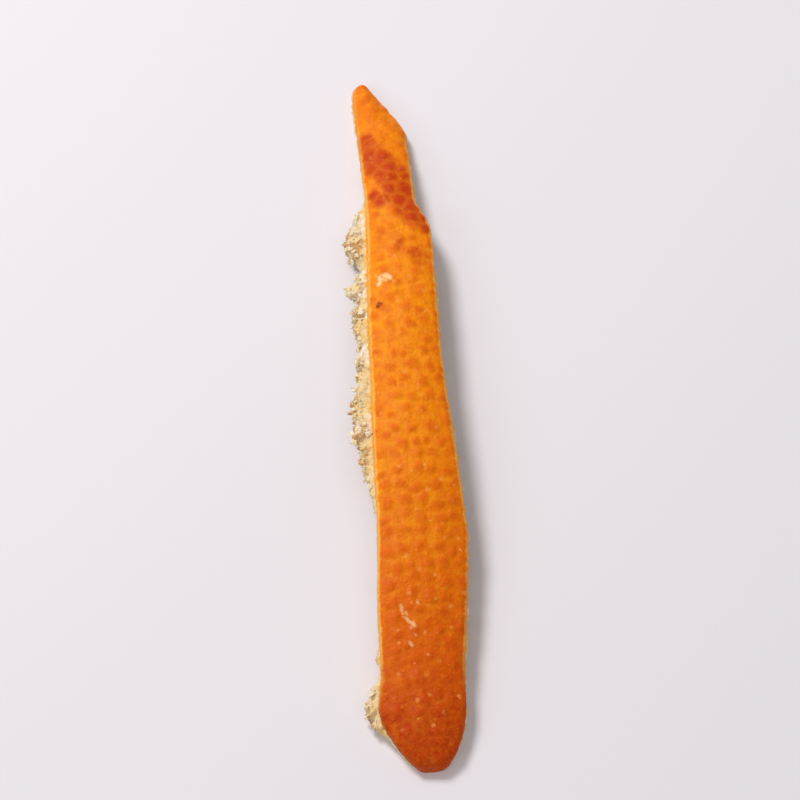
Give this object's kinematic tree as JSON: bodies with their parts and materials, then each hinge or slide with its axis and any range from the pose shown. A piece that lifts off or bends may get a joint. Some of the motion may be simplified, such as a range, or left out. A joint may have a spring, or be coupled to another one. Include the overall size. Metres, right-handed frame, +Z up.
{
  "type": "dried orange peel strip",
  "caption": "Narrow strip of dried orange peel lying skin side up, pointed at one end and rounded at the other, with torn pith along one edge.",
  "frame": {"origin": "under the middle of the strip's bounding box, on the surface it lies on", "axes": "+Y along the strip towards its pointed tip, +Z up out of the skin side, +X to the right of the tip"},
  "size_m": [0.0094, 0.067, 0.0048],
  "materials": {
    "peel": "dried waxy rind with pores above, matte crumbly cream pith below"
  },
  "bodies": {
    "root": {"peel_strip": "peel"}
  },
  "joints": []
}
